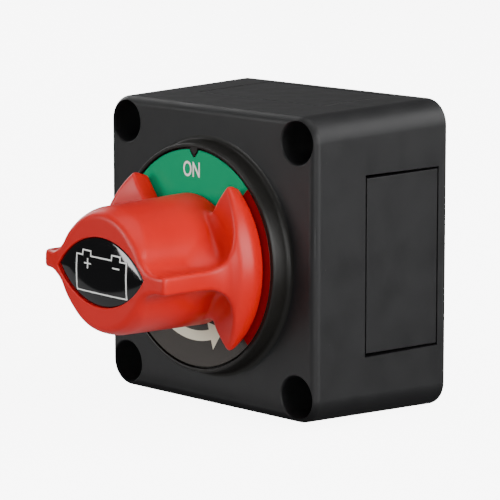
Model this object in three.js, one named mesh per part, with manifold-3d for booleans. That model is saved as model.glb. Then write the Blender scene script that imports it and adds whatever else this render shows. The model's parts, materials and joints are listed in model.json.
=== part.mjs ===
// Marine battery master switch: a square housing with a round dial, a winged turn knob, and a
// cam-driven contact bridge between two threaded terminal studs.
//
// Millimetres, +Z up. The origin is the centre of the back (mounting) face. +Y points into the
// bulkhead that the switch is screwed to, and -Y points to the front, where the knob is.

import * as THREE from "three";
import { mergeVertices } from "three/addons/utils/BufferGeometryUtils.js";
import Module from "manifold-3d";

const wasm = await Module();
wasm.setup();

// ---------------------------------------------------------------- driving dimensions

const GAP = 0.3;                 // clearance between neighbouring pieces
const FINE_GAP = 0.1;            // clearance between pieces that touch on the real switch

// Housing
const HALF = 34.5;               // half the width and height at the back face
const DEPTH = 39.5;              // back face to front face
const DRAFT = 0.03;              // how much each side wall leans in per mm of depth
const CORNER_R = 5.7;
const FRONT_EDGE_R = 2.6;
const WALL = 2.8;
const FRONT_WALL = 2.5;
const FRONT_Y = -DEPTH;
const CHAMBER_Y = FRONT_Y + FRONT_WALL;

// Corner screw holes
const HOLE_OFFSET = 27.7;
const COUNTERBORE_R = 4.7;
const COUNTERBORE_FLOOR_Y = -9;
const SCREW_HOLE_R = 2.75;
const POST_R = 6.9;

// Bezel ring, dial plate and index tooth
const DIAL_R = 24.3;
const DIAL_FRONT_Y = -43.85;
const DIAL_FLOOR_Y = -42.5;
const RING_INNER_R = 24.5;
const RING_CREST_Y = -44;
const TOOTH_HALF_WIDTH = 1.3;
const TOOTH_TIP_Z = 22.9;

// Cable panels, one in each side wall
const PANEL_BACK_Y = -2.5;
const PANEL_FRONT_Y = -24.6;
const PANEL_HALF = 20;
const PANEL_SIDE_GAP = 0.5;

// Rear cover and base insulator
const COVER_THICKNESS = 2.6;
const PLATE_FRONT_Y = -26.6;
const PLATE_BACK_Y = -24;
const PLATE_HALF = 30.6;
const BASE_SCREW_X = 14;
const BASE_SCREW_Z = 26;
const POCKET_R = 5.6;
const POCKET_FLOOR_Y = -18.3;
const BASE_BOSS_R = 3.2;
const BASE_PILOT_R = 1.55;
const BASE_PILOT_END_Y = -35.5;
const BASE_SCREW_R = 1.4;
const BASE_SCREW_HEAD_R = 2.8;
const BASE_SCREW_HEAD_HEIGHT = 2;
const BASE_SCREW_TIP_Y = -34.5;
const COVER_RIB_OUTER = 13.5;
const COVER_RIB_INNER = 12;
const COVER_RIB_FRONT_Y = -4.4;

// Terminals
const STUD_X = 19;
const STUD_R = 4.9;
const STUD_HEAD_R = 7;
const STUD_SEAT_Y = PLATE_FRONT_Y + 1.3;
const STUD_END_Y = -5.4;
const WASHER_R = 9.8;
const WASHER_BORE_R = 5.3;
const WASHER_THICKNESS = 1.9;
const SPRING_WASHER_R = 8.6;
const SPRING_WASHER_THICKNESS = 2.2;
const NUT_ACROSS_FLATS = 17;
const NUT_THICKNESS = 8;
const CONTACT_R = 3.2;
const CONTACT_THICKNESS = 0.7;

// Rotor, cam and carrier
const BORE_R = 9.2;
const SHAFT_R = 8.8;
const O_RING_Y = FRONT_Y - 1;
const O_RING_WIRE_R = 0.85;
const FLANGE_R = 13.5;
const FLANGE_FRONT_Y = -36.8;
const FLANGE_BACK_Y = -34.8;
const CAM_LOW_Y = -34.7;
const CAM_HIGH_Y = -33.3;
const CAM_INNER_R = 9.3;
const CAM_OUTER_R = 12.9;
const TANG_R = 5.9;
const TANG_FLAT_X = 4.6;
const TANG_BACK_Y = -46;
const TANG_FRONT_Y = -60.2;
const ROTOR_PILOT_R = 1.6;
const ROTOR_PILOT_END_Y = -50;
const O_RING_GROOVE_R = 7.3;
const O_RING_GROOVE_HALF = 1.2;
const FOLLOWER_Y = -33;
const CARRIER_FRONT_Y = -31.6;
const CARRIER_BACK_Y = -30.1;
const BRIDGE_BACK_Y = -28.4;
const PEG_X = 12;
const PEG_R = 1.3;
const CARRIER_HALF_X = 23;
const CARRIER_HALF_Z = 8.5;
const BRIDGE_HALF_X = 22.6;
const BRIDGE_HALF_Z = 8;
const GUIDE_Z = 17;
const GUIDE_PIN_R = 1.4;
const GUIDE_PIN_BACK_Y = -24.7;
const GUIDE_PIN_FRONT_Y = -36;

// Detents, on the two diagonals of the flange
const DETENT_Y = (FLANGE_FRONT_Y + FLANGE_BACK_Y) / 2;
const PLUNGER_R = 1.1;
const PLUNGER_TIP = FLANGE_R + 0.15;
const PLUNGER_LENGTH = 5;
const DETENT_BORE_END = 23.4;

// Knob
const KNOB_BACK_Y = DIAL_FRONT_Y - 0.55;
const KNOB_FRONT_Y = -71.2;
const BARREL_BACK_R = 14.6;
const BARREL_FRONT_R = 13.9;
const KNOB_EDGE_R = 2.6;
const KNOB_WALL = 2.8;
const FIN_TIP_X = 19.8;
const FIN_HALF_THICKNESS = 2.1;
const WEDGE_INNER_X = 12;
const WEDGE_LIFT = 0.55;
const WING_R = 23.6;
const WING_PLATE_Y = KNOB_BACK_Y - 2.2;
const EAR_X = 15.5;
const EAR_Z = 17.5;
const EAR_FOOT_X = 11.8;
const EAR_FOOT_Z = 12.5;
const EYE_HALF_WIDTH = 14.1;
const EYE_HALF_HEIGHT = 7.6;
const EYE_FLOOR_Y = KNOB_FRONT_Y + 1.2;
const KNOB_SEAT_ANGLE = 2.5;
const BADGE_THICKNESS = 0.9;
const SOCKET_END_Y = TANG_FRONT_Y - 0.3;
const SCREW_SEAT_Y = -63;
const SCREW_R = 1.4;
const SCREW_HEAD_R = 3.9;
const SCREW_HEAD_HEIGHT = 2.3;
const SCREW_TIP_Y = -50.6;
const HUB_R = 8.6;
const HUB_BACK_Y = -46.4;
const HOLLOW_END_Y = -61;

// Mesh fineness
const ROUND = 40;
const SMALL_ROUND = 20;

// ---------------------------------------------------------------- materials

function material(color, roughness, metalness = 0) {
  return new THREE.MeshStandardMaterial({ color, roughness, metalness });
}

const BLACK_NYLON = material(0x2c2c2c, 0.6);
const DARK_NYLON = material(0x1b1b1c, 0.55);
const RED_NYLON = material(0xd1402f, 0.35);
const DIAL_PRINT = material(0x339c75, 0.3);
const BLACK_LENS = material(0x0a0a0b, 0.08);
const WHITE_ACETAL = material(0xe9e6dc, 0.4);
const GREY_PHENOLIC = material(0x4b4038, 0.6);
const COPPER = material(0xb9703f, 0.3, 1);
const TINNED_BRASS = material(0xbdb7a4, 0.3, 1);
const SILVER = material(0xd9d7d2, 0.25, 1);
const STAINLESS = material(0xb8babc, 0.3, 1);
const SPRING_STEEL = material(0x8d9094, 0.35, 1);
const NITRILE = material(0x151515, 0.8);

// ---------------------------------------------------------------- solids

function signedVolume(position, index) {
  const a = new THREE.Vector3();
  const b = new THREE.Vector3();
  const c = new THREE.Vector3();
  let total = 0;
  for (let i = 0; i < index.length; i += 3) {
    a.fromBufferAttribute(position, index[i]);
    b.fromBufferAttribute(position, index[i + 1]);
    c.fromBufferAttribute(position, index[i + 2]);
    total += a.dot(b.cross(c));
  }
  return total / 6;
}

// Turns a closed three.js geometry into a solid that can be cut and joined.
function solid(geometry) {
  const bare = geometry.clone();
  bare.deleteAttribute("normal");
  bare.deleteAttribute("uv");
  const merged = mergeVertices(bare);
  const triangles = [];
  for (let i = 0; i < merged.index.count; i += 3) {
    const [a, b, c] = [0, 1, 2].map((corner) => merged.index.getX(i + corner));
    if (a !== b && b !== c && c !== a) triangles.push(a, b, c);
  }
  if (signedVolume(merged.attributes.position, triangles) < 0) triangles.reverse();
  return new wasm.Manifold(new wasm.Mesh({
    numProp: 3,
    vertProperties: new Float32Array(merged.attributes.position.array),
    triVerts: new Uint32Array(triangles),
  }));
}

function union(...solids) {
  return solids.reduce((sum, next) => sum.add(next));
}

function cut(body, ...tools) {
  return tools.reduce((rest, tool) => rest.subtract(tool), body);
}

// A body of revolution about the Y axis, from [radius, y] points.
function turned(profile, segments = ROUND) {
  const points = profile.map(([radius, y]) => new THREE.Vector2(radius, y));
  return solid(new THREE.LatheGeometry(points, segments));
}

function disc(radius, y0, y1, segments = ROUND) {
  return turned([[0, y0], [radius, y0], [radius, y1], [0, y1]], segments);
}

function tube(innerR, outerR, y0, y1, segments = ROUND) {
  return turned([[innerR, y0], [outerR, y0], [outerR, y1], [innerR, y1], [innerR, y0]], segments);
}

// A round bar along Y whose axis passes through (x, z).
function rod(x, z, radius, y0, y1, segments = SMALL_ROUND) {
  const geometry = new THREE.CylinderGeometry(radius, radius, Math.abs(y1 - y0), segments);
  return solid(geometry.translate(x, (y0 + y1) / 2, z));
}

function box(x0, x1, y0, y1, z0, z1) {
  const geometry = new THREE.BoxGeometry(x1 - x0, Math.abs(y1 - y0), z1 - z0);
  return solid(geometry.translate((x0 + x1) / 2, (y0 + y1) / 2, (z0 + z1) / 2));
}

// An outline in X and Z, extruded between two depths.
function prism(shape, y0, y1) {
  const front = Math.min(y0, y1);
  const depth = Math.abs(y1 - y0);
  const geometry = new THREE.ExtrudeGeometry(shape, { depth, bevelEnabled: false, curveSegments: 12 });
  return solid(geometry.rotateX(Math.PI / 2).translate(0, front + depth, 0));
}

function polygon(points) {
  return new THREE.Shape(points.map(([x, z]) => new THREE.Vector2(x, z)));
}

// Points of a square outline with round corners, counter-clockwise in X and Z.
function roundedSquare(half, radius, steps) {
  const points = [];
  for (let corner = 0; corner < 4; corner++) {
    const start = (corner * Math.PI) / 2;
    const centre = new THREE.Vector2(half - radius, half - radius);
    centre.rotateAround(new THREE.Vector2(), start);
    for (let i = 0; i <= steps; i++) {
      const angle = start + ((i / steps) * Math.PI) / 2;
      points.push([centre.x + radius * Math.cos(angle), centre.y + radius * Math.sin(angle)]);
    }
  }
  return points;
}

// A skin through rounded squares at successive depths, closed at both ends.
function squareLoft(stations, steps) {
  const rings = stations.map(({ half, radius }) => roundedSquare(half, radius, steps));
  const count = rings[0].length;
  const positions = rings.flatMap((ring, i) => ring.flatMap(([x, z]) => [x, stations[i].y, z]));
  const index = [];
  for (let ring = 0; ring < rings.length - 1; ring++) {
    for (let i = 0; i < count; i++) {
      const a = ring * count + i;
      const b = ring * count + ((i + 1) % count);
      index.push(a, b + count, a + count, a, b, b + count);
    }
  }
  const last = (rings.length - 1) * count;
  for (let i = 1; i < count - 1; i++) {
    index.push(0, i + 1, i, last, last + i, last + i + 1);
  }
  const geometry = new THREE.BufferGeometry();
  geometry.setAttribute("position", new THREE.Float32BufferAttribute(positions, 3));
  geometry.setIndex(index);
  return solid(geometry);
}

// A wire of round section wound about the Y axis, with its ends left open-wound.
function coil({ radius, wire, y0, y1, turns, sides = 6, stepsPerTurn = 12 }) {
  class Helix extends THREE.Curve {
    getPoint(t, target = new THREE.Vector3()) {
      const angle = t * turns * Math.PI * 2;
      const y = THREE.MathUtils.lerp(y0, y1, t);
      return target.set(radius * Math.cos(angle), y, radius * Math.sin(angle));
    }
  }
  const section = new THREE.Shape();
  for (let i = 0; i < sides; i++) {
    const angle = (i / sides) * Math.PI * 2;
    const point = [wire * Math.cos(angle), wire * Math.sin(angle)];
    if (i === 0) section.moveTo(...point);
    else section.lineTo(...point);
  }
  section.closePath();
  const steps = Math.round(turns * stepsPerTurn);
  return new THREE.ExtrudeGeometry(section, { steps, extrudePath: new Helix() });
}

// ---------------------------------------------------------------- scene graph

const battery_switch = new THREE.Group();

function addGeometry(name, geometry, finish, place = () => {}) {
  const mesh = new THREE.Mesh(geometry, finish);
  mesh.name = name;
  place(mesh);
  battery_switch.add(mesh);
}

function add(name, body, finish, place) {
  const { vertProperties, triVerts } = body.getMesh();
  const geometry = new THREE.BufferGeometry();
  geometry.setAttribute("position", new THREE.BufferAttribute(vertProperties, 3));
  geometry.setIndex(new THREE.BufferAttribute(triVerts, 1));
  geometry.computeVertexNormals();
  addGeometry(name, geometry, finish, place);
}

const SIDES = [["left", -1], ["right", 1]];
const CORNERS = [[1, 1], [-1, 1], [-1, -1], [1, -1]];

// ---------------------------------------------------------------- housing and its panels

function halfAt(y) {
  return HALF + DRAFT * y;
}

function outerBody() {
  const stations = [{ y: 0, half: HALF, radius: CORNER_R }];
  const edgeSteps = 4;
  for (let i = 0; i <= edgeSteps; i++) {
    const angle = ((i / edgeSteps) * Math.PI) / 2;
    const inset = FRONT_EDGE_R * (1 - Math.cos(angle));
    const y = FRONT_Y + FRONT_EDGE_R * (1 - Math.sin(angle));
    stations.push({ y, half: halfAt(y) - inset, radius: CORNER_R - inset });
  }
  return squareLoft(stations, 6);
}

function cavity() {
  const behind = 1;
  const stations = [behind, CHAMBER_Y].map((y) => ({ y, half: halfAt(y) - WALL, radius: 3 }));
  return squareLoft(stations, 4);
}

// Solid corner columns round the four mounting screw holes.
function cornerPosts(radius, y0, y1) {
  return CORNERS.map(([sx, sz]) => {
    const inner = [sx * HOLE_OFFSET, sz * HOLE_OFFSET];
    const outer = [sx * (HALF + 1), sz * (HALF + 1)];
    const xs = [inner[0] - sx * radius, outer[0]].sort((a, b) => a - b);
    const zs = [inner[1] - sz * radius, outer[1]].sort((a, b) => a - b);
    const besideX = [inner[0], outer[0]].sort((a, b) => a - b);
    const besideZ = [inner[1], outer[1]].sort((a, b) => a - b);
    return union(
      rod(...inner, radius, y0, y1, 24),
      box(besideX[0], besideX[1], y0, y1, zs[0], zs[1]),
      box(xs[0], xs[1], y0, y1, besideZ[0], besideZ[1]),
    );
  });
}

// The round bezel: a boss with a raised rim that the dial plate sits inside.
function bezel() {
  return turned([
    [0, FRONT_Y + 0.5],
    [26.6, FRONT_Y + 0.5],
    [26.5, FRONT_Y],
    [25.9, RING_CREST_Y + 0.9],
    [25.6, RING_CREST_Y + 0.3],
    [25.1, RING_CREST_Y],
    [24.7, RING_CREST_Y + 0.15],
    [RING_INNER_R, RING_CREST_Y + 0.5],
    [RING_INNER_R, DIAL_FLOOR_Y],
    [0, DIAL_FLOOR_Y],
  ], 60);
}

function tooth(clearance) {
  const half = TOOTH_HALF_WIDTH + clearance;
  const root = RING_INNER_R + 0.4;
  return polygon([[-half, root], [0, TOOTH_TIP_Z - clearance * 1.5], [half, root]]);
}

// The space that one cable panel fills, cut through the wall on the side that angle points to.
function panelSpace(angle, inner, sideGap, frontBackGap) {
  const half = PANEL_HALF - sideGap;
  const geometry = new THREE.BoxGeometry(8, 1, 2 * half);
  const y0 = PANEL_FRONT_Y + frontBackGap;
  const y1 = PANEL_BACK_Y - frontBackGap;
  geometry.scale(1, y1 - y0, 1);
  geometry.translate(inner + 4, (y0 + y1) / 2, 0);
  return solid(geometry.rotateY(-angle));
}

const PANELS = [
  ["cable_panel_right", 0],
  ["cable_panel_top", Math.PI / 2],
  ["cable_panel_left", Math.PI],
  ["cable_panel_bottom", -Math.PI / 2],
];

// A detent guide block on the front wall, or its bore, along the diagonal at the given angle.
function detentBlock(angle) {
  const geometry = new THREE.BoxGeometry(9, 3.2, 4.8);
  geometry.translate(20, DETENT_Y + 0.1, 0);
  return solid(geometry.rotateY(-angle));
}

function detentBore(angle) {
  const start = 14;
  const geometry = new THREE.CylinderGeometry(1.3, 1.3, DETENT_BORE_END - start, SMALL_ROUND);
  geometry.rotateZ(Math.PI / 2).translate((start + DETENT_BORE_END) / 2, DETENT_Y, 0);
  return solid(geometry.rotateY(-angle));
}

const DETENTS = [["upper", Math.PI / 4], ["lower", Math.PI * 1.25]];

function baseScrewPlaces() {
  return CORNERS.map(([sx, sz]) => [sx * BASE_SCREW_X, sz * BASE_SCREW_Z]);
}

function housing() {
  const posts = cornerPosts(POST_R, -COVER_THICKNESS - GAP, CHAMBER_Y - 1);
  const shell = cut(outerBody(), cut(cavity(), ...posts));
  const bossBack = PLATE_FRONT_Y - FINE_GAP;
  const bosses = baseScrewPlaces().map(([x, z]) => rod(x, z, BASE_BOSS_R, bossBack, CHAMBER_Y - 0.5));
  const blocks = DETENTS.map(([, angle]) => detentBlock(angle));
  const pointer = prism(tooth(0), DIAL_FLOOR_Y + 0.2, RING_CREST_Y + 0.03);
  const body = union(shell, bezel(), ...bosses, ...blocks, pointer);
  const holes = CORNERS.flatMap(([sx, sz]) => [
    rod(sx * HOLE_OFFSET, sz * HOLE_OFFSET, COUNTERBORE_R, COUNTERBORE_FLOOR_Y, FRONT_Y - 1, 28),
    rod(sx * HOLE_OFFSET, sz * HOLE_OFFSET, SCREW_HOLE_R, 1, COUNTERBORE_FLOOR_Y - 1),
  ]);
  return cut(
    body,
    disc(BORE_R, CHAMBER_Y + 1, DIAL_FRONT_Y),
    ...holes,
    ...PANELS.map(([, angle]) => panelSpace(angle, HALF - WALL - 2.6, 0, 0)),
    ...baseScrewPlaces().map(([x, z]) => rod(x, z, BASE_PILOT_R, PLATE_FRONT_Y, BASE_PILOT_END_Y, 12)),
    ...DETENTS.map(([, angle]) => detentBore(angle)),
  );
}

// A blank that follows the drafted wall outside and has two stiffening ribs inside.
function cablePanel(angle) {
  const plate = outerBody().intersect(panelSpace(angle, HALF - WALL + 0.2, PANEL_SIDE_GAP, GAP));
  const ribs = [-10, 10].map((z) => {
    const geometry = new THREE.BoxGeometry(2, 16, 1.2);
    geometry.translate(HALF - WALL, (PANEL_FRONT_Y + PANEL_BACK_Y) / 2, z);
    return solid(geometry.rotateY(-angle));
  });
  return union(plate, ...ribs);
}

add("housing", housing(), BLACK_NYLON);
for (const [name, angle] of PANELS) add(name, cablePanel(angle), BLACK_NYLON);

function rearCover() {
  const half = halfAt(-COVER_THICKNESS) - WALL - GAP;
  const stations = [0, -COVER_THICKNESS].map((y) => ({ y, half, radius: 3 }));
  const holes = CORNERS.map(([sx, sz]) => {
    return rod(sx * HOLE_OFFSET, sz * HOLE_OFFSET, SCREW_HOLE_R, 1, -COVER_THICKNESS - 1);
  });
  const outer = COVER_RIB_OUTER;
  const inner = COVER_RIB_INNER;
  const rib = cut(
    box(-outer, outer, COVER_RIB_FRONT_Y, 0.5 - COVER_THICKNESS, -outer, outer),
    box(-inner, inner, COVER_RIB_FRONT_Y - 1, -COVER_THICKNESS, -inner, inner),
  );
  return cut(union(squareLoft(stations, 4), rib), ...holes);
}

add("rear_cover", rearCover(), BLACK_NYLON);

// ---------------------------------------------------------------- dial plate

function dialPlate() {
  const back = DIAL_FLOOR_Y - FINE_GAP;
  const plate = turned([
    [BORE_R + 0.4, back],
    [DIAL_R, back],
    [DIAL_R, DIAL_FRONT_Y],
    [BORE_R + 0.4, DIAL_FRONT_Y],
    [BORE_R + 0.4, back],
  ], 60);
  return cut(plate, prism(tooth(0.15), back + 1, DIAL_FRONT_Y - 1));
}

add("dial_plate", dialPlate(), DIAL_PRINT);

// ---------------------------------------------------------------- knob

// Half the height of a wing at each depth: wide ears at the base, a slim fin in front. Nearer the
// barrel the same outline is pressed back by lift, which leaves a shallow valley behind the crest.
function wingBand(x0, x1, lift) {
  const crest = [
    [-48.4, 17.5],
    [-50.2, 13],
    [-51.3, 9],
    [-52.3, 6],
    [-53.5, 3.7],
    [-56, 2.5],
    [KNOB_FRONT_Y + 1.4, FIN_HALF_THICKNESS],
  ];
  const lifted = crest.map(([y, half]) => [WING_PLATE_Y + (y - WING_PLATE_Y) * lift, half]);
  const outline = [[KNOB_BACK_Y, 22], [WING_PLATE_Y, 22], ...lifted];
  const mirrored = outline.map(([y, half]) => [y, -half]).reverse();
  const shape = polygon([...outline, ...mirrored]);
  const geometry = new THREE.ExtrudeGeometry(shape, { depth: x1 - x0, bevelEnabled: false });
  geometry.applyMatrix4(new THREE.Matrix4().makeBasis(
    new THREE.Vector3(0, 1, 0),
    new THREE.Vector3(0, 0, 1),
    new THREE.Vector3(1, 0, 0),
  ));
  return solid(geometry.translate(x0, 0, 0));
}

// The envelope that the wings are trimmed to: the flared base, then the fin's outer edge.
function wingEnvelope() {
  return turned([
    [0, KNOB_BACK_Y],
    [22.4, KNOB_BACK_Y],
    [23.3, -46.2],
    [WING_R, -48.2],
    [23.2, -50.4],
    [22.3, -51.8],
    [20.8, -53.5],
    [20.1, -57],
    [FIN_TIP_X, -68.4],
    [19.3, -69.8],
    [17, -70.7],
    [0, -70.7],
  ], 64);
}

// Everything between the straight inner edges of the ears, above and below the barrel.
function earCutters() {
  return CORNERS.map(([sx, sz]) => {
    const slope = (EAR_Z - EAR_FOOT_Z) / (EAR_X - EAR_FOOT_X);
    const reach = 30;
    const lift = EAR_FOOT_Z - slope * EAR_FOOT_X;
    const points = [[0, 0], [-lift / slope, 0], [reach, lift + slope * reach], [0, reach * 2]];
    return prism(polygon(points.map(([x, z]) => [sx * x, sz * z])), KNOB_BACK_Y + 1, KNOB_BACK_Y - 12);
  });
}

function wings() {
  const base = disc(WING_R, KNOB_BACK_Y, WING_PLATE_Y, 64);
  const fin = box(-21, 21, KNOB_BACK_Y, KNOB_FRONT_Y + 1.4, -FIN_HALF_THICKNESS, FIN_HALF_THICKNESS);
  const bands = union(
    wingBand(17.2, 24, 1),
    wingBand(-24, -17.2, 1),
    wingBand(WEDGE_INNER_X, 17.3, WEDGE_LIFT),
    wingBand(-17.3, -WEDGE_INNER_X, WEDGE_LIFT),
  );
  return cut(union(base, fin, bands).intersect(wingEnvelope()), ...earCutters());
}

function barrel() {
  const profile = [[0, KNOB_BACK_Y], [BARREL_BACK_R, KNOB_BACK_Y]];
  const steps = 4;
  for (let i = 0; i <= steps; i++) {
    const angle = ((i / steps) * Math.PI) / 2;
    const radius = BARREL_FRONT_R - KNOB_EDGE_R * (1 - Math.cos(angle));
    profile.push([radius, KNOB_FRONT_Y + KNOB_EDGE_R * (1 - Math.sin(angle))]);
  }
  profile.push([0, KNOB_FRONT_Y]);
  return turned(profile, 56);
}

// Raised front rim on each fin, so that the window's pointed corners stay inside the face.
function faceTips() {
  const tip = 19;
  const points = [[0, 12], [9, 9.6], [14, 4.6], [tip, 1.5], [tip, -1.5], [14, -4.6], [9, -9.6], [0, -12]];
  const mirrored = points.map(([x, z]) => [-x, -z]);
  return union(
    prism(polygon(points), KNOB_FRONT_Y + 2.6, KNOB_FRONT_Y),
    prism(polygon(mirrored), KNOB_FRONT_Y + 2.6, KNOB_FRONT_Y),
  );
}

// A pointed oval bounded by two arcs through both tips.
function eye(halfWidth, halfHeight) {
  const radius = (halfWidth ** 2 + halfHeight ** 2) / (2 * halfHeight);
  const sweep = Math.asin(halfWidth / radius);
  const steps = 14;
  const points = [];
  for (const side of [1, -1]) {
    for (let i = 0; i < steps; i++) {
      const angle = side * (Math.PI / 2) + sweep * (1 - (2 * i) / steps) * -1;
      const centre = side * (halfHeight - radius);
      points.push([radius * Math.cos(angle), centre + radius * Math.sin(angle)]);
    }
  }
  return polygon(points);
}

function socket(radius, flatX, y0, y1) {
  const wide = radius + 1;
  return rod(0, 0, radius, y0, y1, 32).intersect(box(-flatX, flatX, y0, y1, -wide, wide));
}

// The knob sits on its splines a little clockwise of upright.
function seated(body) {
  return body.rotate([0, KNOB_SEAT_ANGLE, 0]);
}

function knob() {
  const window = prism(eye(EYE_HALF_WIDTH, EYE_HALF_HEIGHT), EYE_FLOOR_Y, KNOB_FRONT_Y - 1);
  const body = seated(cut(union(barrel(), wings(), faceTips()), window));
  const hollow = disc(BARREL_BACK_R - KNOB_WALL, KNOB_BACK_Y + 1, HOLLOW_END_Y);
  const hub = disc(HUB_R, HUB_BACK_Y, HOLLOW_END_Y - 1);
  const lightening = cut(hollow, hub);
  return cut(
    body,
    lightening,
    socket(TANG_R + 0.15, TANG_FLAT_X + 0.15, TANG_BACK_Y, SOCKET_END_Y),
    disc(SCREW_R + 0.6, SOCKET_END_Y + 1, SCREW_SEAT_Y - 1, SMALL_ROUND),
    disc(SCREW_HEAD_R + 0.5, SCREW_SEAT_Y, EYE_FLOOR_Y - 0.5, SMALL_ROUND),
  );
}

function knobBadge() {
  const lens = prism(
    eye(EYE_HALF_WIDTH - 0.25, EYE_HALF_HEIGHT - 0.15),
    EYE_FLOOR_Y - FINE_GAP,
    EYE_FLOOR_Y - FINE_GAP - BADGE_THICKNESS,
  );
  return seated(union(lens, tube(3.2, 4.2, EYE_FLOOR_Y + 2, EYE_FLOOR_Y - 0.5, SMALL_ROUND)));
}

function crossRecess(x, z, headY, towards) {
  const depth = towards * 0.9;
  const y = [headY - 0.01 * towards, headY + depth].sort((a, b) => a - b);
  return union(
    box(x - 1.7, x + 1.7, y[0], y[1], z - 0.35, z + 0.35),
    box(x - 0.35, x + 0.35, y[0], y[1], z - 1.7, z + 1.7),
  );
}

function knobScrew() {
  const seatY = SCREW_SEAT_Y - FINE_GAP;
  const headY = seatY - SCREW_HEAD_HEIGHT;
  const body = turned([
    [0, SCREW_TIP_Y],
    [SCREW_R, SCREW_TIP_Y],
    [SCREW_R, seatY],
    [SCREW_HEAD_R, seatY],
    [SCREW_HEAD_R, headY + 0.6],
    [SCREW_HEAD_R - 0.8, headY],
    [0, headY],
  ], SMALL_ROUND);
  return cut(body, crossRecess(0, 0, headY, 1));
}

add("knob", knob(), RED_NYLON);
add("knob_badge", knobBadge(), BLACK_LENS);
add("knob_screw", knobScrew(), STAINLESS);

// ---------------------------------------------------------------- rotor

// The cam face rises from the low level to the high one and back, twice a turn.
function raiseCam(geometry) {
  const position = geometry.attributes.position;
  for (let i = 0; i < position.count; i++) {
    const onCam = Math.abs(position.getY(i) - CAM_LOW_Y) < 0.001;
    if (!onCam) continue;
    const angle = THREE.MathUtils.radToDeg(Math.atan2(position.getZ(i), position.getX(i)));
    const fromCrest = Math.abs(THREE.MathUtils.euclideanModulo(angle, 180) - 90);
    position.setY(i, THREE.MathUtils.lerp(CAM_HIGH_Y, CAM_LOW_Y, fromCrest / 90));
  }
  return geometry;
}

function rotor() {
  const profile = [
    [0, ROTOR_PILOT_END_Y],
    [ROTOR_PILOT_R, ROTOR_PILOT_END_Y],
    [ROTOR_PILOT_R, TANG_FRONT_Y],
    [TANG_R, TANG_FRONT_Y],
    [TANG_R, TANG_BACK_Y],
    [SHAFT_R, TANG_BACK_Y],
    [SHAFT_R, O_RING_Y - O_RING_GROOVE_HALF],
    [O_RING_GROOVE_R, O_RING_Y - O_RING_GROOVE_HALF],
    [O_RING_GROOVE_R, O_RING_Y + O_RING_GROOVE_HALF],
    [SHAFT_R, O_RING_Y + O_RING_GROOVE_HALF],
    [SHAFT_R, FLANGE_FRONT_Y],
    [FLANGE_R, FLANGE_FRONT_Y],
    [FLANGE_R, FLANGE_BACK_Y],
    [CAM_OUTER_R, FLANGE_BACK_Y],
    [CAM_OUTER_R, CAM_LOW_Y],
    [CAM_INNER_R, CAM_LOW_Y],
    [CAM_INNER_R, FLANGE_BACK_Y],
    [0, FLANGE_BACK_Y],
  ];
  const points = profile.map(([radius, y]) => new THREE.Vector2(radius, y));
  const body = solid(raiseCam(new THREE.LatheGeometry(points, ROUND)));
  const flats = [-1, 1].map((side) => {
    const xs = [side * TANG_FLAT_X, side * (TANG_R + 1)].sort((a, b) => a - b);
    return box(xs[0], xs[1], TANG_FRONT_Y - 1, TANG_BACK_Y, -TANG_R - 1, TANG_R + 1);
  });
  const notches = [0, 1, 2, 3].map((quarter) => {
    const angle = Math.PI / 4 + (quarter * Math.PI) / 2;
    const x = (FLANGE_R + 0.5) * Math.cos(angle);
    const z = (FLANGE_R + 0.5) * Math.sin(angle);
    return rod(x, z, 1.4, FLANGE_FRONT_Y - 1, FLANGE_BACK_Y + 0.05, 14);
  });
  return cut(body, ...flats, ...notches);
}

add("rotor", rotor(), WHITE_ACETAL);
addGeometry(
  "rotor_o_ring",
  new THREE.TorusGeometry(8.25, O_RING_WIRE_R, 6, ROUND).rotateX(Math.PI / 2),
  NITRILE,
  (mesh) => mesh.position.set(0, O_RING_Y, 0),
);

// ---------------------------------------------------------------- contact carrier and bridge

function contactCarrier() {
  const y = [CARRIER_FRONT_Y, CARRIER_BACK_Y];
  const cross = union(
    box(-CARRIER_HALF_X, CARRIER_HALF_X, ...y, -CARRIER_HALF_Z, CARRIER_HALF_Z),
    box(-5, 5, ...y, -GUIDE_Z - 3.3, GUIDE_Z + 3.3),
  );
  const camMid = (CAM_INNER_R + CAM_OUTER_R) / 2;
  const followers = [-1, 1].map((side) => {
    const z = side * camMid;
    return box(-0.8, 0.8, FOLLOWER_Y, CARRIER_FRONT_Y + 0.2, z - 1.6, z + 1.6);
  });
  const pegs = SIDES.map(([, side]) => rod(side * PEG_X, 0, PEG_R, y[1] - 0.2, BRIDGE_BACK_Y + 0.5));
  const guideHoles = [-1, 1].map((side) => rod(0, side * GUIDE_Z, GUIDE_PIN_R + 0.35, y[0] - 2, y[1] + 2));
  return cut(union(cross, ...followers, ...pegs), ...guideHoles);
}

function contactBridge() {
  const y = [CARRIER_BACK_Y + FINE_GAP, BRIDGE_BACK_Y];
  const bar = box(-BRIDGE_HALF_X, BRIDGE_HALF_X, ...y, -BRIDGE_HALF_Z, BRIDGE_HALF_Z);
  const pegHoles = SIDES.map(([, side]) => rod(side * PEG_X, 0, PEG_R + 0.2, y[0] - 1, y[1] + 1));
  return cut(bar, disc(POCKET_R - 0.2, y[0] - 1, y[1] + 1, 32), ...pegHoles);
}

add("contact_carrier", contactCarrier(), GREY_PHENOLIC);
add("contact_bridge", contactBridge(), COPPER);

const MOVING_CONTACT_Y = BRIDGE_BACK_Y + FINE_GAP;
const FIXED_CONTACT_Y = MOVING_CONTACT_Y + CONTACT_THICKNESS + FINE_GAP;

function contactTip(y0) {
  return disc(CONTACT_R, y0, y0 + CONTACT_THICKNESS, 24);
}

for (const [side, sign] of SIDES) {
  const beside = (mesh) => mesh.position.set(sign * STUD_X, 0, 0);
  add(`moving_contact_${side}`, contactTip(MOVING_CONTACT_Y), SILVER, beside);
  add(`fixed_contact_${side}`, contactTip(FIXED_CONTACT_Y), SILVER, beside);
}

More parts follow.
